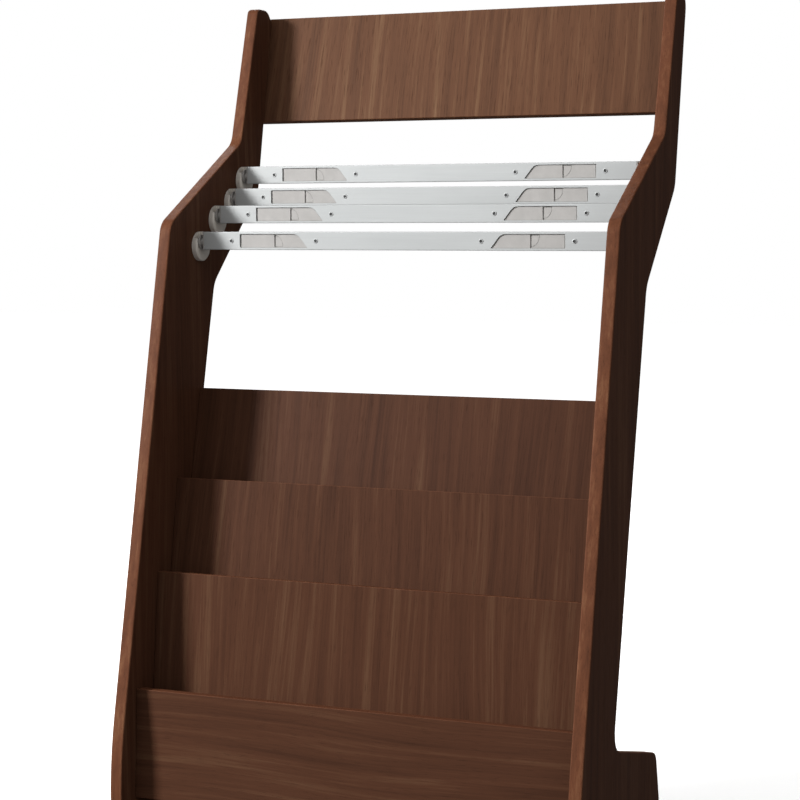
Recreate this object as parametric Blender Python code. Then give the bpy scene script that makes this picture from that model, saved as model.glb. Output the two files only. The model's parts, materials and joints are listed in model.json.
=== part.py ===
"""Newspaper rack: two S-shaped side panels, boards between them, and four lift-out newspaper clamps.

Metres. X runs along the boards, -Y is the reader's side, +Z is up. The origin is on the floor,
in the middle of the rack's width and depth. The rack is its own mirror image about X = 0.
"""

from math import acos, cos, pi, radians, sin, tan

import bmesh
import bpy
from mathutils import Matrix, Vector

# Whole rack
WIDTH = 0.700
DEPTH = 0.540
HEIGHT = 1.270
PANEL = 0.019  # thickness of the side panels
INNER = WIDTH - 2 * PANEL  # clear width between the side panels
FRONT = -DEPTH / 2
GAP = 0.0003  # between pieces that touch
LAP = 0.0005  # of two shapes that become one
CUT = 0.002  # how far a cutting shape stands out of what it cuts

# Side panel outline: lean of each stretch from the vertical, and a point (Y, Z) that it passes
GLIDE_HEIGHT = 0.004
FRONT_LEAN = (radians(13.0), (-0.111, 0.859))
FRONT_SLOPE = (radians(62.0), (0.098, 1.037))
FRONT_NECK = (radians(17.1), (0.196, 1.252))
BACK_NECK = (radians(11.9), (0.249, 1.242))
BACK_SLOPE = (radians(48.0), (0.095, 0.892))
BACK_LEAN = (radians(14.0), (0.032, 0.810))
FOOT_TOP = (radians(-74.6), (-0.084, 0.210))
FOOT_BACK = (radians(-13.8), (0.126, 0.080))
TOE_BEND, NECK_BEND, HIP_BEND, FOOT_BEND = 0.570, 0.030, 0.040, 0.032
TOP_FRONT_ROUND, TOP_BACK_ROUND, HEEL_ROUND = 0.012, 0.024, 0.024
EASED_EDGE = 0.0025
ARC_ERROR = 0.0001  # how far a long arc's chords may lie inside it

# Boards: lean from the vertical and the front top edge (Y, Z). Each pocket stands a little more
# upright than the one above it, so the pockets fan out towards the reader.
BOARD = 0.015
REAR_BOARD = (radians(14.0), (-0.0145, 0.686))
UPPER_FRONT = (radians(10.5), (-0.0905, 0.559))
MIDDLE_FRONT = (radians(7.0), (-0.1540, 0.429))
LOWER_FRONT = (radians(3.5), (-0.2220, 0.2695))
BOARD_EASED = 0.001
POCKET_FLOOR = 0.012
FLOOR_TOPS = (0.425, 0.270, 0.124)  # upper, middle and lower pocket

# Header board, screwed to the back edges of the side panels
HEADER = 0.018
HEADER_LENGTH = WIDTH - 0.012
HEADER_Z = (1.093, 1.258)
HEADER_SCREW_Z = (1.125, 1.225)
HEADER_EASED = 0.0015

# Rails between the feet
RAIL = 0.018
TOE_RAIL = (-0.200, 0.010, 0.098)  # front face Y, bottom Z, height
REAR_STRETCHER = (0.088, 0.020, 0.080)

# Clamps, back to front: front face Y and middle Z of each
CLAMP_SEATS = ((0.118, 1.0065), (0.0775, 0.9725), (0.026, 0.9465), (-0.029, 0.908))
BAR_HEIGHT, BAR_DEPTH, BAR_WALL, BAR_ROUND = 0.0265, 0.012, 0.0016, 0.001
PIN_YZ = (0.009, -0.002)  # middle of the pin behind the front face and above the middle
PIN_RADIUS, PIN_TOP = 0.008, 0.006
COLLAR_RADIUS, COLLAR, NECK_RADIUS, NECK, END_PLATE = 0.011, 0.002, 0.006, 0.005, 0.0015
END_CLEARANCE = 0.001
HINGE_YZ = (0.0153, 0.0099)  # jaw hinge behind the front face and above the middle
BEAD_RADIUS = 0.003
JAW_PLATE = (-0.0006, 0.0019)  # front and back of the jaw's plate, from the hinge
JAW_LIP = 0.003
PLUG_BLOCK = 0.020
STUB_RADIUS, STUB_LENGTH = 0.0013, 0.006
WINDOW_X, WINDOW_HEIGHT = (0.142, 0.252), 0.020
WINDOW_SLANT, WINDOW_BEND, WINDOW_CORNER = radians(52), 0.014, 0.0012  # of the inner end
LOCK_X, LOCK_LENGTH, LOCK_PLATE = 0.196, 0.120, 0.0025
GRIP_WALL_X = {-1: 0.0, 1: 0.0043}  # straight wall of the finger grip, from the lock's middle
GRIP_LENGTH, GRIP_HALF_HEIGHT, GRIP_DEPTH = 0.0142, 0.0092, 0.0012

# Sockets that hold the clamps' pins
SOCKET_RADIUS, SOCKET_DEPTH, SOCKET_FLOOR = 0.022, 0.009, 0.002
NOTCH_RADIUS = 0.0084
NOTCH_YZ = (-0.009, 0.0065)  # middle of the pin from the middle of the socket
SOCKET_RIM = 0.002  # bevel of the rim
SPIGOT_RADIUS, SPIGOT_LENGTH = 0.005, 0.008

# Screws: head radius, head height, shank radius, length
SOCKET_SCREW = (0.0034, 0.0025, 0.0016, 0.020)
HEADER_SCREW = (0.0040, 0.0030, 0.0020, 0.038)
SOCKET_SCREW_YZ = (0.011, 0.001)
SCREW_SIDES = 12

# Nail-in glides under the feet
GLIDE_RADIUS, GLIDE_PIN_RADIUS, GLIDE_PIN = 0.009, 0.002, 0.014
GLIDE_Y = (-0.245, 0.118)


# ---------------------------------------------------------------- materials


def material(name, colour, roughness, metallic=0.0):
    made = bpy.data.materials.new(name)
    made.use_nodes = True
    shader = made.node_tree.nodes["Principled BSDF"]
    shader.inputs["Base Color"].default_value = (*colour, 1.0)
    shader.inputs["Roughness"].default_value = roughness
    shader.inputs["Metallic"].default_value = metallic
    return made


# ---------------------------------------------------------------- outlines


def crossing(first, second):
    """The point (Y, Z) where two leaning stretches meet."""
    (lean_a, (ya, za)), (lean_b, (yb, zb)) = first, second
    z = (yb - ya + tan(lean_a) * za - tan(lean_b) * zb) / (tan(lean_a) - tan(lean_b))
    return ya + tan(lean_a) * (z - za), z


def at_height(stretch, z):
    lean, (y0, z0) = stretch
    return y0 + tan(lean) * (z - z0)


def rounded(corners, step=radians(8)):
    """An outline of straight runs, each corner (Y, Z, radius) replaced by an arc."""
    outline = []
    for i, (y, z, radius) in enumerate(corners):
        here = Vector((y, z))
        before = (Vector(corners[i - 1][:2]) - here).normalized()
        after = (Vector(corners[(i + 1) % len(corners)][:2]) - here).normalized()
        if radius == 0:
            outline.append(here)
            continue
        half = before.angle(after) / 2
        centre = here + (before + after).normalized() * radius / sin(half)
        start = here + before * radius / tan(half) - centre
        turn = start.angle_signed(here + after * radius / tan(half) - centre)
        longest = min(step, 2 * acos(1 - min(1, ARC_ERROR / radius)))
        count = max(2, round(abs(turn) / longest))
        for k in range(count + 1):
            outline.append(centre + Matrix.Rotation(-turn * k / count, 2) @ start)
    return [tuple(point) for point in outline]


def leaning_board(stretch, bottom, thickness=BOARD):
    """Cross-section of a board, with its front face on the stretch from the front top edge down."""
    lean, (y, z) = stretch
    down = Vector((-sin(lean), -cos(lean))) * (z - bottom) / cos(lean)
    back = Vector((cos(lean), -sin(lean))) * thickness
    front_top = Vector((y, z))
    return [tuple(p) for p in (front_top, front_top + back, front_top + back + down, front_top + down)]


def notch_outline(radius, top):
    """Half round below, and straight sides up to the top."""
    arc = [pi + pi * k / 12 for k in range(13)]
    return [(radius * cos(a), radius * sin(a)) for a in arc] + [(radius, top), (-radius, top)]


def rear_face(stretch, z):
    return at_height(stretch, z) + BOARD / cos(stretch[0])


# ---------------------------------------------------------------- meshes


def finished(name, bm):
    bmesh.ops.remove_doubles(bm, verts=bm.verts, dist=1e-6)
    bmesh.ops.recalc_face_normals(bm, faces=bm.faces)
    mesh = bpy.data.meshes.new(name)
    bm.to_mesh(mesh)
    bm.free()
    return mesh


def prism(name, outline, low, high, axis="X"):
    """An outline extruded from low to high: in (Y, Z) along X, or in (X, Z) along Y."""

    def place(p, depth):
        return (depth, p[0], p[1]) if axis == "X" else (p[0], depth, p[1])

    bm = bmesh.new()
    face = bm.faces.new([bm.verts.new(place(p, low)) for p in outline])
    grown = bmesh.ops.extrude_face_region(bm, geom=[face])["geom"]
    step = Vector((high - low, 0, 0) if axis == "X" else (0, high - low, 0))
    bmesh.ops.translate(bm, vec=step, verts=[v for v in grown if isinstance(v, bmesh.types.BMVert)])
    return finished(name, bm)


def turned(name, profile, steps=24, centre=(0, 0)):
    """A profile (x, radius) spun about the X direction through centre (Y, Z)."""
    bm = bmesh.new()
    y, z = centre
    angles = [2 * pi * (k + 0.5) / steps for k in range(steps)]
    rings = []
    for x, radius in profile:
        if radius == 0:
            rings.append([bm.verts.new((x, y, z))] * steps)
        else:
            rings.append([bm.verts.new((x, y + radius * cos(a), z + radius * sin(a))) for a in angles])
    for near, far in zip(rings, rings[1:]):
        for k in range(steps):
            corners = (near[k - 1], near[k], far[k], far[k - 1])
            bm.faces.new(dict.fromkeys(corners))
    return finished(name, bm)


def cylinder(name, first, last, radius, side=1, steps=16, centre=(0, 0)):
    low, high = sorted((side * first, side * last))
    return turned(name, ((low, 0), (low, radius), (high, radius), (high, 0)), steps, centre)


def box(name, low, high):
    outline = [(low[1], low[2]), (high[1], low[2]), (high[1], high[2]), (low[1], high[2])]
    return prism(name, outline, low[0], high[0])


def joined(name, placed):
    """One mesh to cut with, made of (mesh, matrix) pairs that stay clear of each other."""
    bm = bmesh.new()
    for mesh, matrix in placed:
        count = len(bm.verts)
        bm.from_mesh(mesh)
        bm.verts.ensure_lookup_table()
        bmesh.ops.transform(bm, matrix=matrix, verts=bm.verts[count:])
    made = bpy.data.meshes.new(name)
    bm.to_mesh(made)
    bm.free()
    return made


def shaped(name, mesh, steps, bevel=0.0):
    """The mesh after an optional edge bevel and then each (operation, other mesh) Boolean in turn."""
    body = bpy.data.objects.new(name, mesh)
    bpy.context.scene.collection.objects.link(body)
    helpers = []
    if bevel:
        edges = body.modifiers.new("eased edges", "BEVEL")
        edges.width, edges.segments = bevel, 2
        edges.limit_method, edges.angle_limit = "ANGLE", radians(50)
    for operation, other in steps:
        helper = bpy.data.objects.new("helper", other)
        bpy.context.scene.collection.objects.link(helper)
        helper.hide_render, helper.display_type = True, "WIRE"
        helpers.append(helper)
        boolean = body.modifiers.new(operation.lower(), "BOOLEAN")
        boolean.operation, boolean.object, boolean.solver = operation, helper, "EXACT"
    graph = bpy.context.evaluated_depsgraph_get()
    result = bpy.data.meshes.new_from_object(body.evaluated_get(graph))
    result.name = name
    for used in (body, *helpers):
        bpy.data.objects.remove(used)
    return result


def add(name, mesh, finish, location=(0, 0, 0), parent=None):
    mesh.materials.clear()
    mesh.materials.append(finish)
    mesh.shade_smooth()
    mesh.set_sharp_from_angle(angle=radians(30))
    made = bpy.data.objects.new(name, mesh)
    made.location, made.parent = location, parent
    bpy.context.scene.collection.objects.link(made)
    return made


# ---------------------------------------------------------------- side panels and their fittings


def side_outline():
    floor = GLIDE_HEIGHT + GAP
    upright = (0.0, (FRONT, 0.0))
    top_front = at_height(FRONT_NECK, HEIGHT)
    top_back = at_height(BACK_NECK, HEIGHT)
    return rounded(
        (
            (FRONT, floor, 0),
            (*crossing(upright, FRONT_LEAN), TOE_BEND),
            (*crossing(FRONT_LEAN, FRONT_SLOPE), NECK_BEND),
            (*crossing(FRONT_SLOPE, FRONT_NECK), NECK_BEND),
            (top_front, HEIGHT, TOP_FRONT_ROUND),
            (top_back, HEIGHT, TOP_BACK_ROUND),
            (*crossing(BACK_NECK, BACK_SLOPE), HIP_BEND),
            (*crossing(BACK_SLOPE, BACK_LEAN), HIP_BEND),
            (*crossing(BACK_LEAN, FOOT_TOP), FOOT_BEND),
            (*crossing(FOOT_TOP, FOOT_BACK), HEEL_ROUND),
            (at_height(FOOT_BACK, floor), floor, 0),
        )
    )


def screw(name, size, clearance=0.0):
    """A countersunk screw, head at x = 0 and point along -X. With a clearance it is the hole to cut."""
    head, head_height, shank, length = size
    if clearance:
        head, shank, end = head + clearance, shank + clearance, -length - 2 * clearance
        profile = [(CUT, 0), (CUT, head), (-clearance, head), (-head_height - clearance, shank)]
        profile += [(end, shank), (end, 0)]
    else:
        profile = [(0, 0), (0, head), (-head_height, shank), (2 * shank - length, shank), (-length, 0)]
    return turned(name, profile, SCREW_SIDES)


def header_screw_matrix(side, z):
    lean = BACK_NECK[0]
    face = at_height(BACK_NECK, z) + (GAP + HEADER) / cos(lean)
    place = Matrix.Translation((side * (INNER + HEADER_LENGTH) / 4, face, z))
    return place @ Matrix.Rotation(-lean, 4, "X") @ Matrix.Rotation(pi / 2, 4, "Z")


def socket_place(side, seat):
    """Middle of a socket's back, on the inner face of its panel."""
    return Vector((side * (INNER / 2 - GAP), *(a + b - c for a, b, c in zip(seat, PIN_YZ, NOTCH_YZ))))


def socket_screw_matrix(side, place):
    """Turns a screw to go out through a socket, whose back is at the given place, into its panel."""
    head = place + Vector((-side * (SOCKET_DEPTH - 0.0005), *SOCKET_SCREW_YZ))
    return Matrix.Translation(head) @ Matrix.Rotation(0 if side < 0 else pi, 4, "Z")


def glide_matrix(side, y):
    place = Matrix.Translation((side * (INNER + PANEL) / 2, y, 0))
    return place @ Matrix.Rotation(-pi / 2, 4, "Y")


def side_panel(side):
    spigot = cylinder("spigot hole", -CUT, SPIGOT_LENGTH + 2 * GAP, SPIGOT_RADIUS + GAP, side)
    glide_pin = cylinder("glide hole", 0, GLIDE_HEIGHT + GLIDE_PIN + 2 * GAP, GLIDE_PIN_RADIUS + GAP)
    holes = [(glide_pin, glide_matrix(side, y)) for y in GLIDE_Y]
    for z in HEADER_SCREW_Z:
        holes.append((screw("header hole", HEADER_SCREW, GAP), header_screw_matrix(side, z)))
    for seat in CLAMP_SEATS:
        place = socket_place(side, seat)
        holes.append((spigot, Matrix.Translation(place)))
        holes.append((screw("screw hole", SOCKET_SCREW, GAP), socket_screw_matrix(side, place)))
    low, high = sorted((side * INNER / 2, side * WIDTH / 2))
    blank = prism("side panel", side_outline(), low, high)
    return shaped("side panel", blank, [("DIFFERENCE", joined("panel holes", holes))], bevel=EASED_EDGE)


def header_board():
    lean = BACK_NECK[0]
    low, high = HEADER_Z
    front = (lean, (at_height(BACK_NECK, high) + GAP / cos(lean), high))
    blank = prism("header", leaning_board(front, low, HEADER), -HEADER_LENGTH / 2, HEADER_LENGTH / 2)
    hole = screw("header hole", HEADER_SCREW, GAP)
    holes = [(hole, header_screw_matrix(side, z)) for side in (-1, 1) for z in HEADER_SCREW_Z]
    return shaped("header", blank, [("DIFFERENCE", joined("header holes", holes))], bevel=HEADER_EASED)


def socket(side):
    """A holder for a pin: a disc with a rounded rim, a spigot behind it and a notch open at the top."""
    profile = [(-SPIGOT_LENGTH, 0), (-SPIGOT_LENGTH, SPIGOT_RADIUS), (0, SPIGOT_RADIUS), (0, SOCKET_RADIUS)]
    profile += [(SOCKET_DEPTH - SOCKET_RIM, SOCKET_RADIUS), (SOCKET_DEPTH, SOCKET_RADIUS - SOCKET_RIM)]
    profile += [(SOCKET_DEPTH, 0)]
    disc = turned("socket", [(-side * x, radius) for x, radius in profile], 28)
    y, z = NOTCH_YZ
    notch = [(y + dy, z + dz) for dy, dz in notch_outline(NOTCH_RADIUS, SOCKET_RADIUS)]
    way_in = prism("notch", notch, *sorted((-side * SOCKET_FLOOR, -side * (SOCKET_DEPTH + CUT))))
    hole = (screw("screw hole", SOCKET_SCREW, GAP), socket_screw_matrix(side, Vector()))
    return shaped("socket", disc, [("DIFFERENCE", way_in), ("DIFFERENCE", joined("screw hole", [hole]))])


def glide():
    """A round foot with a pin: along local X, which the placing turns upwards."""
    round_edge, tip = 0.001, 0.003
    top, end = GLIDE_HEIGHT, GLIDE_HEIGHT + GLIDE_PIN
    profile = [(0, 0), (0, GLIDE_RADIUS - round_edge), (round_edge, GLIDE_RADIUS), (top, GLIDE_RADIUS)]
    profile += [(top, GLIDE_PIN_RADIUS), (end - tip, GLIDE_PIN_RADIUS), (end, 0)]
    return turned("glide", profile, 12)


def build_sides(wood, grey, steel, black):
    glide_mesh = glide()
    socket_screw = screw("socket screw", SOCKET_SCREW)
    header_screw = screw("header screw", HEADER_SCREW)
    for side, word in ((-1, "left"), (1, "right")):
        add(f"side_panel_{word}", side_panel(side), wood)
        socket_mesh = socket(side)
        for number, seat in enumerate(CLAMP_SEATS, 1):
            place = socket_place(side, seat)
            add(f"socket_{word}_{number}", socket_mesh, grey, location=place)
            piece = add(f"socket_screw_{word}_{number}", socket_screw, steel)
            piece.matrix_world = socket_screw_matrix(side, place)
        for z, level in zip(HEADER_SCREW_Z, ("lower", "upper")):
            piece = add(f"header_screw_{word}_{level}", header_screw, steel)
            piece.matrix_world = header_screw_matrix(side, z)
        for y, end in zip(GLIDE_Y, ("front", "rear")):
            piece = add(f"glide_{word}_{end}", glide_mesh, black)
            piece.matrix_world = glide_matrix(side, y)


# ---------------------------------------------------------------- boards


def pocket_floor_outline(behind, before, top):
    """Cross-section of a pocket's floor, which fills the space between two leaning boards."""
    bottom = top - POCKET_FLOOR
    return [
        (rear_face(before, top) + GAP, top),
        (at_height(behind, top) - GAP, top),
        (at_height(behind, bottom) - GAP, bottom),
        (rear_face(before, bottom) + GAP, bottom),
    ]


def build_boards(wood):
    half = INNER / 2 - GAP
    add("header_board", header_board(), wood)
    upper, middle, lower = (top - POCKET_FLOOR for top in FLOOR_TOPS)
    boards = (
        ("rear_board", REAR_BOARD, upper),
        ("upper_pocket_front", UPPER_FRONT, middle),
        ("middle_pocket_front", MIDDLE_FRONT, lower),
        ("lower_pocket_front", LOWER_FRONT, lower),
    )
    for name, stretch, bottom in boards:
        blank = prism(name, leaning_board(stretch, bottom), -half, half)
        add(name, shaped(name, blank, [], bevel=BOARD_EASED), wood)
    pockets = zip(("upper", "middle", "lower"), FLOOR_TOPS, boards, boards[1:])
    for level, top, (_, behind, _), (_, before, _) in pockets:
        outline = pocket_floor_outline(behind, before, top)
        add(f"{level}_pocket_floor", prism("pocket floor", outline, -half, half), wood)
    for name, (y, z, height) in (("toe_rail", TOE_RAIL), ("rear_stretcher", REAR_STRETCHER)):
        blank = box(name, (-half, y, z), (half, y + RAIL, z + height))
        add(name, shaped(name, blank, [], bevel=BOARD_EASED), wood)


# ---------------------------------------------------------------- clamps

HALF_BAR = INNER / 2 - GAP - SOCKET_DEPTH - END_CLEARANCE - COLLAR - NECK - END_PLATE - GAP


def front_bar():
    """A channel open at the back, with a window in its face for each lock.

    The end of a window nearer the bar's middle slants down to a point, from a wide bend at the top.
    """
    top, wall, deep = BAR_HEIGHT / 2, BAR_WALL, BAR_DEPTH
    upper_half = [(wall, top - wall, 0), (deep, top - wall, 0), (deep, top, 0), (0, top, BAR_ROUND)]
    lower_half = [(y, -z, radius) for y, z, radius in reversed(upper_half)]
    section = rounded([*lower_half, *upper_half], step=radians(30))
    near, far = WINDOW_X
    half = WINDOW_HEIGHT / 2
    bend = (near + WINDOW_HEIGHT / tan(WINDOW_SLANT), half, WINDOW_BEND)
    window = rounded(
        ((far, half, WINDOW_CORNER), bend, (near, -half, WINDOW_CORNER / 2), (far, -half, WINDOW_CORNER)),
        step=radians(15),
    )
    cuts = []
    for side in (-1, 1):
        outline = [(side * x, z) for x, z in window]
        cuts.append((prism("window", outline, -CUT, wall + CUT, axis="Y"), Matrix()))
    blank = prism("front bar", section, -HALF_BAR, HALF_BAR)
    return shaped("front bar", blank, [("DIFFERENCE", joined("windows", cuts))])


def jaw():
    """The strip that pinches the papers against the front bar, made about its own hinge axis."""
    front, back = JAW_PLATE
    bottom = -BAR_HEIGHT / 2 - HINGE_YZ[1]
    first, last = -acos(back / BEAD_RADIUS), 2 * pi - acos(front / BEAD_RADIUS)
    arc = [first + (last - first) * k / 12 for k in range(13)]
    section = [(-BEAD_RADIUS, bottom), (back, bottom)]
    section += [(BEAD_RADIUS * cos(a), BEAD_RADIUS * sin(a)) for a in arc]
    section += [(front, bottom + JAW_LIP), (-BEAD_RADIUS, bottom + JAW_LIP)]
    bores = []
    for side in (-1, 1):
        bore = cylinder("bore", HALF_BAR - STUB_LENGTH - GAP, HALF_BAR + CUT, STUB_RADIUS + GAP, side, 12)
        bores.append((bore, Matrix()))
    blank = prism("jaw", section, -HALF_BAR, HALF_BAR)
    return shaped("jaw", blank, [("DIFFERENCE", joined("bores", bores))])


def end_plug(side):
    """The right or left end of a clamp: a block in the channel, an end plate with a stub for the jaw,
    and a neck, a collar and a pin outside. The pin is round below and has flat sides above, so the
    clamp can't turn in the notches of its sockets.
    """
    inner = HALF_BAR + GAP
    neck, collar = inner + END_PLATE, inner + END_PLATE + NECK
    pin, pin_end = collar + COLLAR, INNER / 2 - GAP - SOCKET_FLOOR - 2 * GAP
    half = BAR_HEIGHT / 2 - BAR_WALL - GAP
    y, z = PIN_YZ
    outline = [(y + dy, z + dz) for dy, dz in notch_outline(PIN_RADIUS, PIN_TOP)]

    def slab(first, last, low, high):
        near, far = sorted((side * first, side * last))
        return box("slab", (near, *low), (far, *high))

    plate = slab(inner, neck, (0, -BAR_HEIGHT / 2), (HINGE_YZ[0] + BEAD_RADIUS, BAR_HEIGHT / 2))
    added = (
        slab(inner - PLUG_BLOCK, inner + LAP, (BAR_WALL + GAP, -half), (BAR_DEPTH - GAP, half)),
        cylinder("stub", inner - STUB_LENGTH, inner + LAP, STUB_RADIUS, side, 10, HINGE_YZ),
        cylinder("neck", neck - LAP, collar + LAP, NECK_RADIUS, side, 20, PIN_YZ),
        cylinder("collar", collar, pin, COLLAR_RADIUS, side, 28, PIN_YZ),
        prism("pin", outline, *sorted((side * (pin - LAP), side * pin_end))),
    )
    return shaped("end plug", plate, [("UNION", other) for other in added])


def lock(side):
    """A plate that slides behind the window, with a shallow finger grip sunk into its face.

    The grip is a quarter of an ellipse. Its straight wall is to the left on both sides of the rack,
    and its corner is at the bottom on the left lock and at the top on the right one.
    """
    half = BAR_HEIGHT / 2 - BAR_WALL - 2 * GAP
    face = BAR_WALL + GAP
    plate = box("lock", (-LOCK_LENGTH / 2, face, -half), (LOCK_LENGTH / 2, face + LOCK_PLATE, half))
    wall = GRIP_WALL_X[side]
    corner = side * GRIP_HALF_HEIGHT
    quarter = [pi / 2 * k / 8 for k in range(9)]
    arc = [(wall + GRIP_LENGTH * cos(a), corner - side * 2 * GRIP_HALF_HEIGHT * sin(a)) for a in quarter]
    sunk = prism("grip", [(wall, corner), *arc], face - CUT, face + GRIP_DEPTH, axis="Y")
    return shaped("lock", plate, [("DIFFERENCE", sunk)])


def build_clamps(aluminium, plastic):
    bar_mesh, jaw_mesh = front_bar(), jaw()
    locks = {side: lock(side) for side in (-1, 1)}
    plugs = {side: end_plug(side) for side in (-1, 1)}
    for number, (y, z) in enumerate(CLAMP_SEATS, 1):
        clamp = bpy.data.objects.new(f"clamp_{number}", None)
        clamp.location = (0, y, z)
        bpy.context.scene.collection.objects.link(clamp)
        add(f"clamp_{number}_front_bar", bar_mesh, aluminium, parent=clamp)
        add(f"clamp_{number}_jaw", jaw_mesh, aluminium, location=(0, *HINGE_YZ), parent=clamp)
        for side, word in ((-1, "left"), (1, "right")):
            place = (side * LOCK_X, 0, 0)
            add(f"clamp_{number}_lock_{word}", locks[side], plastic, location=place, parent=clamp)
            add(f"clamp_{number}_end_plug_{word}", plugs[side], plastic, parent=clamp)


# ---------------------------------------------------------------- the rack


def main():
    for old in list(bpy.data.objects):
        bpy.data.objects.remove(old, do_unlink=True)
    wood = material("walnut laminate", (0.105, 0.050, 0.032), 0.45)
    steel = material("zinc-plated steel", (0.55, 0.55, 0.53), 0.3, 1.0)
    black = material("black plastic", (0.02, 0.02, 0.02), 0.5)
    grey = material("warm grey plastic", (0.30, 0.29, 0.27), 0.45)
    pale = material("pale grey plastic", (0.50, 0.49, 0.48), 0.4)
    aluminium = material("satin aluminium", (0.72, 0.73, 0.74), 0.3, 0.9)
    build_sides(wood, grey, steel, black)
    build_boards(wood)
    build_clamps(aluminium, pale)


main()
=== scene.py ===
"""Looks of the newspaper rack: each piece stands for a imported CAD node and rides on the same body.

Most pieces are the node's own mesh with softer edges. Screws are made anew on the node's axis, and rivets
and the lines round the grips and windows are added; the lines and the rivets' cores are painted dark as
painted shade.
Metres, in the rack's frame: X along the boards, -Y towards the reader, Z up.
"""

import json
from math import cos, pi, radians, sin, tan

import bmesh
import bpy
import numpy as np
from mathutils import Euler, Matrix, Vector

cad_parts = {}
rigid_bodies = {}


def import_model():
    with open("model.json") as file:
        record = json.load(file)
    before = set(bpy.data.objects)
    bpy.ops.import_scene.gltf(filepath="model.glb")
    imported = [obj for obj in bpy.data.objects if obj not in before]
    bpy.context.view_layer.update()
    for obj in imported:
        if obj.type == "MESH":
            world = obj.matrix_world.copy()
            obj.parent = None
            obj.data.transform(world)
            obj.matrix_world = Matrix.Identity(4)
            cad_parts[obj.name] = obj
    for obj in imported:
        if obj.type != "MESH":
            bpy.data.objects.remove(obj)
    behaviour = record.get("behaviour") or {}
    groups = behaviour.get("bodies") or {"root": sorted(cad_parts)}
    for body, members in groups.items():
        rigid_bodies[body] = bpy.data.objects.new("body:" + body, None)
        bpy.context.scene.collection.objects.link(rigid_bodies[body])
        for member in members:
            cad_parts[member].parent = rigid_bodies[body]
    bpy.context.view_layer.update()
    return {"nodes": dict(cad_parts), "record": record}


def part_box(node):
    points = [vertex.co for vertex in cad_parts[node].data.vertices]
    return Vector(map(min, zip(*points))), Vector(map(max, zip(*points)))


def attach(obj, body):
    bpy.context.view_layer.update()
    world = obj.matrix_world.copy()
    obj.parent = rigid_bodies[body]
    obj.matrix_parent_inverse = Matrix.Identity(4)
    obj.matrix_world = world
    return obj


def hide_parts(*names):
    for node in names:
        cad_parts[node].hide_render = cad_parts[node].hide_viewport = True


for startup_object in list(bpy.data.objects):
    bpy.data.objects.remove(startup_object)
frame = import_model()

BODY_OF = {n: body for body, nodes in frame["record"]["behaviour"]["bodies"].items() for n in nodes}
SLOT_OF = {entry["node"]: entry["material_slot"] for entry in frame["record"]["subparts"]}

# Lean of each board from the vertical, in degrees, which its grain follows
LEANS = {
    "header_board": 11.9,
    "rear_board": 14.0,
    "upper_pocket_front": 10.5,
    "middle_pocket_front": 7.0,
    "lower_pocket_front": 3.5,
}
LEVEL_GRAIN = ("lower_pocket_front", "toe_rail", "rear_stretcher")
GRAIN_SLANTS = {"header_board": 3.0}  # in degrees, to the right going up

# Colour of each board's laminate, as a share of the walnut ramp. The header's share is painted light: it is
# made lighter and greyer to stand in for the sheen and the stronger light that fall on it.
SHEET_TONES_AND_PAINTED_LIGHT = {
    # painted light: the header is painted lighter and greyer as painted sheen and light
    "header_board": (1.46, 1.60, 1.56),
    "side_panel_left": (1.0, 1.0, 1.0),
    "side_panel_right": (1.0, 1.0, 1.0),
}
OTHER_SHEET = (0.93, 0.93, 0.93)


# ---------------------------------------------------------------- material helpers


class Graph:
    """A material's node tree, with one short call for each node."""

    def __init__(self, name):
        self.material = bpy.data.materials.new(name)
        self.material.use_nodes = True
        self.tree = self.material.node_tree
        self.shader = self.tree.nodes["Principled BSDF"]

    def set(self, target, key, value):
        socket = target.inputs[key]
        if isinstance(value, bpy.types.NodeSocket):
            self.tree.links.new(value, socket)
        else:
            socket.default_value = value

    def node(self, kind, inputs=(), **settings):
        made = self.tree.nodes.new(kind)
        for key, value in settings.items():
            setattr(made, key, value)
        for key, value in dict(inputs).items():
            self.set(made, key, value)
        return made

    def math(self, operation, a, b=0.0, c=0.0):
        return self.node("ShaderNodeMath", {0: a, 1: b, 2: c}, operation=operation).outputs[0]

    def remap(self, value, low, high, to_low=0.0, to_high=1.0):
        inputs = {"Value": value, "From Min": low, "From Max": high, "To Min": to_low, "To Max": to_high}
        return self.node("ShaderNodeMapRange", inputs).outputs["Result"]

    def stretched(self, vector, scale):
        return self.node("ShaderNodeMapping", {"Vector": vector, "Scale": scale}).outputs["Vector"]

    def noise(self, vector, scale, detail=2.0, roughness=0.5):
        inputs = {"Vector": vector, "Scale": scale, "Detail": detail, "Roughness": roughness}
        return self.node("ShaderNodeTexNoise", inputs).outputs["Fac"]

    def ramp(self, value, stops):
        made = self.node("ShaderNodeValToRGB", {"Fac": value})
        elements = made.color_ramp.elements
        while len(elements) < len(stops):
            elements.new(0.5)
        for element, (place, colour) in zip(elements, stops):
            element.position = place
            element.color = opaque(colour)
        return made.outputs["Color"]

    def mix(self, share, first, second, blend_type="MIX"):
        made = self.node("ShaderNodeMix", data_type="RGBA", blend_type=blend_type)
        for key, value in ((0, share), (6, first), (7, second)):
            self.set(made, key, value)
        return made.outputs[2]

    def bump(self, height, distance, strength=1.0):
        inputs = {"Height": height, "Distance": distance, "Strength": strength}
        self.set(self.shader, "Normal", self.node("ShaderNodeBump", inputs).outputs["Normal"])

    def finish(self, **inputs):
        for key, value in inputs.items():
            self.set(self.shader, key.replace("_", " "), value)
        return self.material


def tint(colour, factor):
    """The colour times a number, or times one number for each channel."""
    shares = factor if isinstance(factor, tuple) else (factor,) * len(colour)
    return tuple(share * c for share, c in zip(shares, colour))


def opaque(colour):
    return (*colour, 1.0)


# ---------------------------------------------------------------- materials

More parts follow.
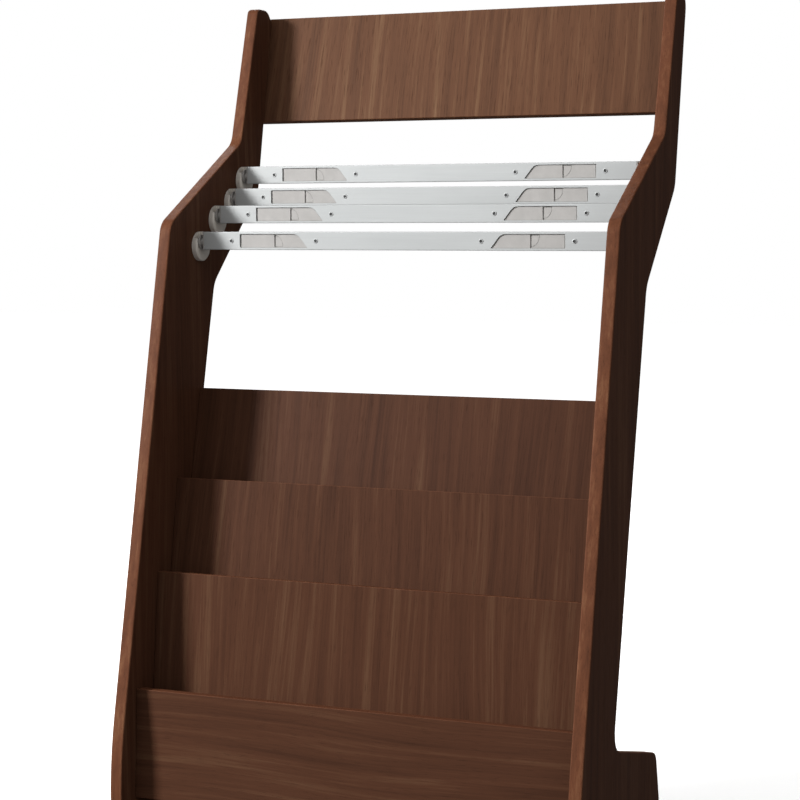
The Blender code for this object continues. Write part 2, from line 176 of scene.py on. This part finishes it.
WALNUT = (0.093, 0.0385, 0.0215)
WALNUT_STOPS = (
    (0.34, (0.058, 0.0245, 0.0145)),
    (0.45, (0.080, 0.0335, 0.0190)),
    (0.53, WALNUT),
    (0.61, (0.116, 0.0540, 0.0300)),
    (0.70, (0.148, 0.0740, 0.0420)),
)
BANDING = (1.56, 1.40, 1.27)  # colour of edge banding, as a share of the face's
GRAIN_DRIFT = 0.026  # metres to each side
BRUSHED_STOPS = ((0.30, (0.45, 0.465, 0.465)), (0.52, (0.49, 0.505, 0.505)), (0.72, (0.53, 0.545, 0.545)))
SMUDGE = (0.43, 0.43, 0.42)
ZINC_STOPS = ((0.32, (0.52, 0.54, 0.58)), (0.52, (0.62, 0.62, 0.60)), (0.70, (0.68, 0.65, 0.55)))


def walnut(name, turn, offset, face, tone_and_painted_light):
    """Walnut-grain laminate, tinted by the board's tone, which for the header also holds painted light and
    sheen. The grain runs along Z after the turn, and edge banding covers whatever faces away from the given
    direction.
    """
    g = Graph(name)
    place = g.node("ShaderNodeTexCoord")
    inputs = {"Vector": place.outputs["Object"], "Rotation": Euler(turn), "Location": offset}
    along = g.node("ShaderNodeMapping", inputs).outputs["Vector"]

    # The grain wanders from side to side by a centimetre or two over a hand's length.
    sway = g.noise(g.stretched(along, (1, 1, 0.35)), 4.5, 1.0)
    drift = g.node("ShaderNodeCombineXYZ", {"X": g.remap(sway, 0, 1, -GRAIN_DRIFT, GRAIN_DRIFT)}).outputs[0]
    grain = g.node("ShaderNodeVectorMath", {0: along, 1: drift}, operation="ADD").outputs[0]
    clouds = g.noise(g.stretched(grain, (1, 1, 0.22)), 4.5, 2.0)
    bands = g.noise(g.stretched(grain, (1, 1, 0.034)), 84.0, 3.0, 0.55)
    streaks = g.noise(g.stretched(grain, (1, 1, 0.016)), 360.0, 3.0, 0.6)
    pores = g.noise(g.stretched(grain, (1, 1, 0.035)), 1150.0, 1.0)

    fine = g.math("MULTIPLY_ADD", streaks, 0.28, g.math("MULTIPLY", clouds, 0.22))
    tone = g.math("MULTIPLY_ADD", bands, 0.50, fine)
    colour = g.ramp(tone, [(at, tint(shade, tone_and_painted_light)) for at, shade in WALNUT_STOPS])
    pore = g.remap(pores, 0.60, 0.72)
    colour = g.mix(g.math("MULTIPLY", pore, 0.45), colour, opaque(tint(WALNUT, 0.35)))

    # Edge banding is lighter and redder, and the eased corner between it and the face is painted lighter,
    # more so in patches.
    towards = g.node("ShaderNodeVectorMath", {0: place.outputs["Normal"], 1: face}, operation="DOT_PRODUCT")
    facing = g.math("ABSOLUTE", towards.outputs["Value"])
    edge = g.remap(facing, 0.80, 0.60)
    colour = g.mix(edge, colour, g.mix(1.0, colour, opaque(BANDING), "MULTIPLY"))
    corner = g.math("MULTIPLY", g.remap(facing, 0.985, 0.93), g.remap(facing, 0.30, 0.42))
    corner_patches = g.remap(g.noise(place.outputs["Object"], 38.0, 4.0, 0.65), 0.42, 0.66)
    lighter_corner = g.math("MULTIPLY", corner, g.math("MULTIPLY_ADD", corner_patches, 0.30, 0.08))
    colour = g.mix(lighter_corner, colour, opaque(tint(WALNUT, 2.4)))

    smears = g.noise(place.outputs["Object"], 7.0, 4.0, 0.6)
    gloss = g.math("MULTIPLY_ADD", smears, 0.12, g.math("MULTIPLY_ADD", pore, 0.14, 0.38))
    g.bump(g.math("MULTIPLY_ADD", pore, -0.7, g.math("MULTIPLY", streaks, 0.5)), 0.00008, 0.6)
    return g.finish(Base_Color=colour, Roughness=gloss, Specular_IOR_Level=0.04)


def aluminium(name):
    """Satin anodised, brushed along X."""
    g = Graph(name)
    place = g.node("ShaderNodeTexCoord").outputs["Object"]
    lines = g.noise(g.stretched(place, (0.006, 1, 1)), 1800.0, 2.0, 0.6)
    broad = g.noise(g.stretched(place, (0.25, 1, 1)), 22.0, 3.0)
    marks = g.remap(g.noise(g.stretched(place, (0.5, 1, 1)), 90.0, 5.0, 0.7), 0.58, 0.74)
    tone = g.math("MULTIPLY_ADD", lines, 0.45, g.math("MULTIPLY", broad, 0.55))
    colour = g.ramp(tone, BRUSHED_STOPS)
    colour = g.mix(g.math("MULTIPLY", marks, 0.18), colour, opaque(SMUDGE))
    gloss = g.math("MULTIPLY_ADD", lines, 0.10, g.math("MULTIPLY_ADD", marks, 0.08, 0.44))
    g.bump(lines, 0.00003, 0.6)
    return g.finish(Base_Color=colour, Roughness=gloss, Metallic=0.25)


def plastic(name, base, rough, grain=0.00004):
    """Moulded plastic: a fine even texture, faint flow marks and a little grime."""
    g = Graph(name)
    place = g.node("ShaderNodeTexCoord").outputs["Object"]
    speckle = g.noise(place, 2600.0, 2.0, 0.6)
    flow = g.noise(place, 60.0, 3.0, 0.55)
    grime = g.remap(g.noise(place, 210.0, 5.0, 0.7), 0.54, 0.72)
    colour = g.ramp(flow, ((0.30, tint(base, 0.93)), (0.55, base), (0.75, tint(base, 1.06))))
    colour = g.mix(g.math("MULTIPLY", grime, 0.14), colour, opaque(tint(base, 0.62)))
    gloss = g.math("MULTIPLY_ADD", speckle, 0.10, g.math("MULTIPLY_ADD", grime, 0.10, rough))
    g.bump(speckle, grain, 0.7)
    return g.finish(Base_Color=colour, Roughness=gloss)


def zinc_plate(name):
    """Zinc plating, with its faint bluish and yellowish clouds."""
    g = Graph(name)
    place = g.node("ShaderNodeTexCoord").outputs["Object"]
    clouds = g.noise(place, 420.0, 3.0, 0.6)
    pits = g.noise(place, 3200.0, 2.0)
    colour = g.ramp(clouds, ZINC_STOPS)
    g.bump(pits, 0.00003, 0.6)
    return g.finish(Base_Color=colour, Roughness=g.remap(pits, 0.2, 0.8, 0.24, 0.42), Metallic=1.0)


# ---------------------------------------------------------------- shapes

WELD = 1e-5
FLAT = 0.3  # degrees between faces that count as one
BOARD_SMOOTH, FITTING_SMOOTH, CUT_SMOOTH = 50.0, 40.0, 35.0  # degrees up to which an edge is shaded soft


def piece_from(bm, name, finish, node, smooth=BOARD_SMOOTH, bevel=0.0):
    """An object of that mesh, with soft shading, that rides where its CAD node does."""
    mesh = bpy.data.meshes.new(name)
    bm.to_mesh(mesh)
    bm.free()
    if "custom_normal" in mesh.attributes:
        mesh.attributes.remove(mesh.attributes["custom_normal"])
    mesh.materials.append(finish)
    mesh.shade_smooth()
    made = bpy.data.objects.new(name, mesh)
    bpy.context.scene.collection.objects.link(made)
    if bevel:
        edges = made.modifiers.new("edges", "BEVEL")
        edges.width, edges.segments = bevel, 2
        edges.limit_method, edges.angle_limit = "ANGLE", radians(smooth)
        edges.use_clamp_overlap = True
    else:
        mesh.set_sharp_from_angle(angle=radians(smooth))
    normals = made.modifiers.new("normals", "WEIGHTED_NORMAL")
    normals.keep_sharp, normals.weight = True, 80
    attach(made, BODY_OF[node])
    return made


def node_mesh(node):
    """The CAD node's mesh, sewn up and with its flat faces whole."""
    bm = bmesh.new()
    bm.from_mesh(frame["nodes"][node].data)
    bmesh.ops.remove_doubles(bm, verts=bm.verts, dist=WELD)
    bmesh.ops.dissolve_limit(bm, angle_limit=radians(FLAT), verts=bm.verts, edges=bm.edges)
    return bm


def shown(node, finish, smooth=BOARD_SMOOTH, bevel=0.0):
    """The CAD node as a visual piece that replaces it. Sizes of bevels are in metres."""
    made = piece_from(node_mesh(node), node + ".shown", finish, node, smooth, bevel)
    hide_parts(node)
    return made


def revolved(bm, profile, sides, place):
    """Turns the profile (distance along Z, radius) round Z, moves it into place and returns its faces."""
    turn = [2 * pi * k / sides for k in range(sides)]
    rings = []
    for along, r in profile:
        if r == 0:
            rings.append([bm.verts.new(place @ Vector((0, 0, along)))] * sides)
        else:
            rings.append([bm.verts.new(place @ Vector((r * cos(a), r * sin(a), along))) for a in turn])
    faces = []
    for near, far in zip(rings, rings[1:]):
        for k in range(sides):
            corners = dict.fromkeys((near[k - 1], near[k], far[k], far[k - 1]))
            faces.append(bm.faces.new(corners))
    return faces


def rounded(corners, steps=6):
    """An outline of straight runs, each corner (X, Z, radius) replaced by an arc of as many points."""
    outline = []
    for i, (x, z, radius) in enumerate(corners):
        here = Vector((x, z))
        before = (Vector(corners[i - 1][:2]) - here).normalized()
        after = (Vector(corners[(i + 1) % len(corners)][:2]) - here).normalized()
        half = before.angle(after) / 2
        centre = here + (before + after).normalized() * radius / sin(half)
        start = here + before * radius / tan(half) - centre
        turn = start.angle_signed(here + after * radius / tan(half) - centre)
        outline += [centre + Matrix.Rotation(-turn * k / steps, 2) @ start for k in range(steps + 1)]
    return outline


def cutter_from(bm, name):
    """An object to cut with, which cut_away removes again."""
    bmesh.ops.recalc_face_normals(bm, faces=bm.faces)
    mesh = bpy.data.meshes.new(name)
    bm.to_mesh(mesh)
    bm.free()
    cutter = bpy.data.objects.new(name, mesh)
    bpy.context.scene.collection.objects.link(cutter)
    return cutter


def cut_away(made, cutter):
    """Cuts the cutter from the piece's own mesh for good, before its other modifiers."""
    cut = made.modifiers.new("cut", "BOOLEAN")
    cut.operation, cut.object, cut.solver = "DIFFERENCE", cutter, "EXACT"
    others = [m for m in made.modifiers if m != cut]
    for modifier in others:
        modifier.show_viewport = False
    mesh = bpy.data.meshes.new_from_object(made.evaluated_get(bpy.context.evaluated_depsgraph_get()))
    for modifier in others:
        modifier.show_viewport = True
    made.modifiers.remove(cut)
    mesh.set_sharp_from_angle(angle=radians(CUT_SMOOTH))
    made.data = mesh
    bpy.data.objects.remove(cutter)


# ---------------------------------------------------------------- boards


def show_boards():
    rng = np.random.default_rng(7)
    for node, slot in SLOT_OF.items():
        if slot != "walnut_laminate":
            continue
        offset = Vector(rng.uniform(-3, 3, 3).tolist())
        if node.startswith("side_panel"):
            turn, face = (0, 0, pi / 2), (1, 0, 0)
        elif node.endswith("floor"):
            turn, face = (0, pi / 2, 0), (0, 0, 1)
        else:
            lean = radians(LEANS.get(node, 0.0))
            turn, face = (lean, 0, 0), (0, -cos(lean), sin(lean))
            if node in LEVEL_GRAIN:
                turn = (lean, pi / 2, 0)
            elif node in GRAIN_SLANTS:
                turn = (lean, -radians(GRAIN_SLANTS[node]), 0)
        shown(node, walnut("walnut " + node, turn, offset, face, SHEET_TONES_AND_PAINTED_LIGHT.get(node, OTHER_SHEET)))


# ---------------------------------------------------------------- screws

RECESS_BLADE = (0.62, 0.13)  # reach and half width of a cross recess, in head radii
RECESS_DEPTH, RECESS_TAPER = 0.55, 0.45  # depth in head radii, and the share of the size at the bottom
RECESS_ABOVE = 0.0004
RECESS_TURN = pi / 7
SCREW_SIDES, SCREW_TURNS = 32, 12
HEADER_SCREW, SOCKET_SCREW = (0.038, 0.0020), (0.020, 0.0016)  # length and radius of the thread
THREAD_CORE, THREAD_POINT = 0.78, 2.2  # radius of the core and length of the point, in thread radii
HEAD_FLAT, HEAD_DOME, HEAD_RIM, NECK = 0.55, 0.00006, 0.0003, 0.0002


def screw_axis(node):
    """The middle of the screw's head, the way out of it and the head's radius."""
    points = np.unique(np.round([v.co for v in frame["nodes"][node].data.vertices], 6), axis=0)
    middle = points.mean(0)
    along = np.linalg.svd(points - middle)[2][0]
    depth = (points - middle) @ along
    radius = np.linalg.norm(points - middle - np.outer(depth, along), axis=1)
    if depth[radius.argmax()] < 0:
        along, depth = -along, -depth
    return Vector(middle + along * depth.max()), Vector(along), radius.max()


def placed(head, out):
    """Moves the origin to the head's middle and Z to the way out of it."""
    return Matrix.Translation(head) @ out.to_track_quat("Z", "Y").to_matrix().to_4x4()


def cross_recess(head, out, radius):
    """A tapered cross to cut into a screw's head."""
    reach, half = (radius * share for share in RECESS_BLADE)
    arm = ((half, -half), (reach, -half), (reach, half))
    turns = [Matrix.Rotation(pi / 2 * k + RECESS_TURN, 2) for k in range(4)]
    outline = [turn @ Vector(point) for turn in turns for point in arm]
    bm = bmesh.new()
    top, bottom = (
        [bm.verts.new((*(point * share), depth)) for point in outline]
        for share, depth in ((1.0, RECESS_ABOVE), (RECESS_TAPER, -radius * RECESS_DEPTH))
    )
    bm.faces.new(top)
    bm.faces.new(bottom[::-1])
    for k in range(len(outline)):
        bm.faces.new((top[k - 1], top[k], bottom[k], bottom[k - 1]))
    bmesh.ops.transform(bm, matrix=placed(head, out), verts=bm.verts)
    return cutter_from(bm, "cross recess")


def round_screw(head, out, radius, length, shank):
    """A countersunk screw with a slightly domed head, a thread and a point."""
    neck = shank - radius
    threaded = length + neck - THREAD_POINT * shank
    profile = [(0.0, 0.0), (0.0, HEAD_FLAT * radius)]
    profile += [(-HEAD_DOME, radius), (-HEAD_RIM, radius), (neck, shank)]
    for k in range(SCREW_TURNS * 2 + 1):
        crest = shank if k % 2 else THREAD_CORE * shank
        profile.append((neck - NECK - threaded * k / (2 * SCREW_TURNS), crest))
    profile.append((-length, 0.0))
    bm = bmesh.new()
    revolved(bm, profile, SCREW_SIDES, placed(head, out))
    bmesh.ops.recalc_face_normals(bm, faces=bm.faces)
    return bm


def show_screws(finish):
    for node in [n for n in SLOT_OF if "screw" in n]:
        head, out, radius = screw_axis(node)
        length, shank = HEADER_SCREW if "header" in node else SOCKET_SCREW
        screw = round_screw(head, out, radius, length, shank)
        made = piece_from(screw, node + ".shown", finish, node, CUT_SMOOTH)
        cut_away(made, cross_recess(head, out, radius))
        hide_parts(node)


# ---------------------------------------------------------------- clamps

# Widths of the eased edges
BAR_EDGE, JAW_EDGE, PLASTIC_EDGE, GLIDE_EDGE = 0.00035, 0.0002, 0.0003, 0.0002

RIVET_X, RIVET_SIDES, RIVET_STEPS = (0.1282, 0.2657), 28, 7
RIVET_RADIUS, RIVET_HEIGHT, RIVET_CORE = 0.0036, 0.0008, 0.0019
RIVET_SUNK, RIVET_FLOOR = 0.0004, 0.00015  # how far the head reaches into the bar, and its core's floor
CROWN, LIP, CORE_EDGE, CORE_FLOOR = 1.35, 1.2, 1.19, 0.9  # radii from the dome's top inwards, in core radii
LIP_DROP = 0.85  # height of the core's edge, in head heights

# The plates' finger grips and the bars' windows, as in the CAD
GRIP_WALL_X = {-1: 0.0, 1: 0.0043}  # of the grip's straight wall from the lock's middle
GRIP_LENGTH, GRIP_HALF_HEIGHT, GRIP_DEPTH = 0.0142, 0.0092, 0.0012
WINDOW_X, WINDOW_HALF_HEIGHT = (0.142, 0.252), 0.010
WINDOW_SLANT, WINDOW_BEND, WINDOW_CORNER = radians(52), 0.014, 0.0012

# Widths of the lines, shallow grooves whose faces are painted dark as painted shade: round a grip and along
# its wall, along a window and at its straight end
LINE, WALL_LINE, WINDOW_LINE, WINDOW_END_LINE = 0.0012, 0.0016, 0.0007, 0.0017
WINDOW_UNDER, LINE_DEPTH, CUT = 0.0004, 0.0004, 0.0003  # under the bar, deep, and clear of the face


def rivet(bm, x, y, z):
    """A domed head that stands out towards -Y, with a hollow core."""
    crown = RIVET_CORE * CROWN
    profile = [(-RIVET_SUNK, 0.0), (-RIVET_SUNK, RIVET_RADIUS), (0.0, RIVET_RADIUS)]
    for k in range(1, RIVET_STEPS):
        a = pi / 2 * k / RIVET_STEPS
        profile.append((RIVET_HEIGHT * sin(a), crown + (RIVET_RADIUS - crown) * cos(a)))
    profile += [(RIVET_HEIGHT, RIVET_CORE * LIP), (RIVET_HEIGHT * LIP_DROP, RIVET_CORE)]
    profile += [(RIVET_FLOOR, RIVET_CORE * CORE_FLOOR), (RIVET_FLOOR, 0.0)]
    place = Matrix.Translation((x, y, z)) @ Matrix.Rotation(pi / 2, 4, "X")
    for face in revolved(bm, profile, RIVET_SIDES, place):
        from_middle = face.calc_center_median() - Vector((x, y, z))
        # painted shade: faces inside the hollow core take the second material, near black
        if Vector((from_middle.x, from_middle.z)).length < RIVET_CORE * CORE_EDGE:
            face.material_index = 1


def sunk_line(outer, inner, front, deep):
    """A ring to cut into a face that looks towards -Y, between two outlines of as many points (X, Z)."""
    bm = bmesh.new()
    outer, inner = (
        [[bm.verts.new((x, y, z)) for x, z in line] for y in (front, deep)] for line in (outer, inner)
    )
    for k in range(len(outer[0])):
        for near, far in (outer, inner, *zip(outer, inner)):
            bm.faces.new((near[k - 1], near[k], far[k], far[k - 1]))
    # painted shade: the ring's faces take the second material, so the groove is painted dark for the shade
    # inside it
    for face in bm.faces:
        face.material_index = 1
    return cutter_from(bm, "line")


def quarter_ellipse(corner, wide, tall, steps=12):
    """The corner (X, Z) and then an arc from its side to its top. Sizes may be negative."""
    turn = [pi / 2 * k / steps for k in range(steps + 1)]
    return [corner] + [(corner[0] + wide * cos(a), corner[1] + tall * sin(a)) for a in turn]


def grip_line(lock, side):
    """The line round a lock's finger grip, wider along the grip's straight wall."""
    low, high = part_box(lock)
    middle = (low + high) / 2
    x, z = middle.x + GRIP_WALL_X[side], middle.z + side * GRIP_HALF_HEIGHT
    tall = -side * 2 * GRIP_HALF_HEIGHT
    outer = quarter_ellipse((x, z), GRIP_LENGTH, tall)
    inner_corner = (x + WALL_LINE, z - side * LINE)
    inner = quarter_ellipse(inner_corner, GRIP_LENGTH - WALL_LINE - LINE, tall + side * 3 * LINE)
    floor = low.y + GRIP_DEPTH
    return sunk_line(outer, inner, floor - CUT, floor + LINE_DEPTH)


def window_outline(middle, side, inset, far_inset):
    """The outline of a bar's window, in from its edge, with its slanting end nearer the bar's middle."""
    near, far = WINDOW_X[0], WINDOW_X[1] - far_inset
    half = WINDOW_HALF_HEIGHT - inset
    slope = 1 / tan(WINDOW_SLANT)
    foot = near + inset * slope + inset / sin(WINDOW_SLANT)
    corners = (
        (far, half, WINDOW_CORNER),
        (foot + 2 * half * slope, half, WINDOW_BEND - inset),
        (foot, -half, WINDOW_CORNER / 2),
        (far, -half, WINDOW_CORNER),
    )
    return [(side * x, middle + z) for x, z in rounded(corners)]


def window_line(lock, side):
    """The line on a lock that follows the edge of its window at rest."""
    low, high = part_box(lock)
    middle = (low.z + high.z) / 2
    outer = window_outline(middle, side, -WINDOW_UNDER, -WINDOW_UNDER)
    inner = window_outline(middle, side, WINDOW_LINE, WINDOW_END_LINE)
    return sunk_line(outer, inner, low.y - CUT, low.y + LINE_DEPTH)


def show_rivets(name, metal, core):
    low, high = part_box(name + "_front_bar")
    bm = bmesh.new()
    for x in RIVET_X:
        for side in (-1, 1):
            rivet(bm, side * x, low.y, (low.z + high.z) / 2)
    bmesh.ops.recalc_face_normals(bm, faces=bm.faces)
    rivets = piece_from(bm, name + "_rivets", metal, name + "_front_bar", FITTING_SMOOTH)
    # painted shade: the second slot is near black for the shade inside the rivets' hollow cores
    rivets.data.materials.append(core)


def show_lock(name, side, pale, painted_groove_shade):
    plate = shown(name, pale, FITTING_SMOOTH)
    # painted shade: the second slot paints the lines round the grip and the window dark
    plate.data.materials.append(painted_groove_shade)
    cut_away(plate, grip_line(name, side))
    cut_away(plate, window_line(name, side))


def show_clamps(metal, pale, painted_groove_shade, core):
    for number in range(1, 5):
        name = f"clamp_{number}"
        shown(name + "_front_bar", metal, FITTING_SMOOTH, BAR_EDGE)
        shown(name + "_jaw", metal, FITTING_SMOOTH, JAW_EDGE)
        show_rivets(name, metal, core)
        for side, word in ((-1, "left"), (1, "right")):
            show_lock(f"{name}_lock_{word}", side, pale, painted_groove_shade)
            shown(f"{name}_end_plug_{word}", pale, FITTING_SMOOTH, PLASTIC_EDGE)


# ---------------------------------------------------------------- floor, light and camera

FLOOR_SIZE = 12.0
FLOOR_STOPS = ((0.3, (0.90, 0.90, 0.90)), (0.7, (0.94, 0.94, 0.94)))
FLOOR_GLOW = (0.42, 0.95)  # strength near the rack and where the floor meets the white background
GLOW_REACH = (1.4, 4.0)
WHITE = (1.0, 1.0, 1.0)
ROOM = (0.18, 0.08)  # strength of the light from all round, in front of the rack and behind it
ROOM_TURN = 0.4
BACKGROUND = 1.0  # strength that the camera sees

# Name, azimuth, elevation, distance, size, power, point lit and colour
LAMPS = (
    ("key", -46, 20, 6.0, 1.3, 445, (0, 0, 0.95), WHITE),
    ("soft", -20, 42, 3.2, 2.2, 18, (0, 0, 0.9), WHITE),
    ("fill", 62, 20, 3.6, 2.4, 20, (0, 0, 0.9), (1.0, 0.96, 0.91)),
    ("back", 205, 32, 3.4, 2.4, 95, (0, 0, 0.8), WHITE),
)
CAMERA_PLACE = (1.0742, -2.6186, 0.9661)
CAMERA_TURN = (84.157, 0.404, 22.431)  # in degrees
CAMERA_LENS, CAMERA_SENSOR = 87.81, 36.0


def area_light(name, azimuth, elevation, distance, size, power, aim, colour):
    """A soft light, placed round the point that it lights. Azimuth 0 is in front and 90 to the right."""
    a, e = radians(azimuth), radians(elevation)
    out = Vector((sin(a) * cos(e), -cos(a) * cos(e), sin(e)))
    lamp = bpy.data.lights.new(name, "AREA")
    lamp.shape, lamp.size, lamp.energy, lamp.color = "SQUARE", size, power, colour
    holder = bpy.data.objects.new(name, lamp)
    holder.location = Vector(aim) + out * distance
    holder.rotation_euler = (-out).to_track_quat("-Z", "Y").to_euler()
    bpy.context.scene.collection.objects.link(holder)


def set_floor():
    bm = bmesh.new()
    bmesh.ops.create_grid(bm, x_segments=4, y_segments=4, size=FLOOR_SIZE)
    mesh = bpy.data.meshes.new("floor")
    bm.to_mesh(mesh)
    bm.free()
    g = Graph("pale floor")
    place = g.node("ShaderNodeTexCoord").outputs["Object"]
    tone = g.ramp(g.noise(place, 1.5, 3.0), FLOOR_STOPS)
    reach = g.node("ShaderNodeVectorMath", {0: place}, operation="LENGTH").outputs["Value"]
    glow = g.remap(reach, *GLOW_REACH, *FLOOR_GLOW)
    g.finish(Base_Color=tone, Roughness=0.9, Emission_Color=opaque(WHITE), Emission_Strength=glow)
    mesh.materials.append(g.material)
    floor = bpy.data.objects.new("floor", mesh)
    bpy.context.scene.collection.objects.link(floor)
    floor.visible_diffuse = floor.visible_glossy = False


def set_world():
    """A white background, and a dimmer light from all round that is weaker from behind the rack."""
    world = bpy.data.worlds.new("studio")
    bpy.context.scene.world = world
    world.use_nodes = True
    nodes, links = world.node_tree.nodes, world.node_tree.links
    background = nodes["Background"]
    background.inputs["Color"].default_value = opaque(WHITE)
    around = nodes.new("ShaderNodeSeparateXYZ")
    links.new(nodes.new("ShaderNodeTexCoord").outputs["Generated"], around.inputs["Vector"])
    room = nodes.new("ShaderNodeMapRange")
    limits = {"From Min": -ROOM_TURN, "From Max": ROOM_TURN, "To Min": ROOM[0], "To Max": ROOM[1]}
    for key, value in limits.items():
        room.inputs[key].default_value = value
    links.new(around.outputs["Y"], room.inputs["Value"])
    strength = nodes.new("ShaderNodeMapRange")
    strength.inputs["To Max"].default_value = BACKGROUND
    links.new(nodes.new("ShaderNodeLightPath").outputs["Is Camera Ray"], strength.inputs["Value"])
    links.new(room.outputs["Result"], strength.inputs["To Min"])
    links.new(strength.outputs["Result"], background.inputs["Strength"])


def set_camera():
    lens = bpy.data.cameras.new("camera")
    lens.lens, lens.sensor_width = CAMERA_LENS, CAMERA_SENSOR
    camera = bpy.data.objects.new("camera", lens)
    camera.location = CAMERA_PLACE
    camera.rotation_euler = [radians(a) for a in CAMERA_TURN]
    bpy.context.scene.collection.objects.link(camera)
    bpy.context.scene.camera = camera


# ---------------------------------------------------------------- the rack

show_boards()
show_screws(zinc_plate("zinc-plated steel"))
show_clamps(
    aluminium("satin aluminium"),
    plastic("pale plastic", (0.44, 0.425, 0.41), 0.40),
    # painted shade: dark paint for the shade inside the grooves round grips and windows
    plastic("painted groove shade", (0.35, 0.34, 0.325), 0.6),
    # painted shade: near black for the shade inside the rivets' hollow cores
    plastic("rivet core painted shade", (0.035, 0.035, 0.035), 0.5),
)
socket_finish = plastic("warm grey plastic", (0.80, 0.76, 0.70), 0.36)
glide_finish = plastic("black plastic", (0.022, 0.022, 0.022), 0.42, 0.00008)
for fitting in SLOT_OF:
    if fitting.startswith("socket_") and "screw" not in fitting:
        shown(fitting, socket_finish, FITTING_SMOOTH, PLASTIC_EDGE)
    elif fitting.startswith("glide_"):
        shown(fitting, glide_finish, FITTING_SMOOTH, GLIDE_EDGE)
set_floor()
set_world()
for lamp in LAMPS:
    area_light(*lamp)
set_camera()
bpy.context.scene.view_settings.view_transform = "Standard"
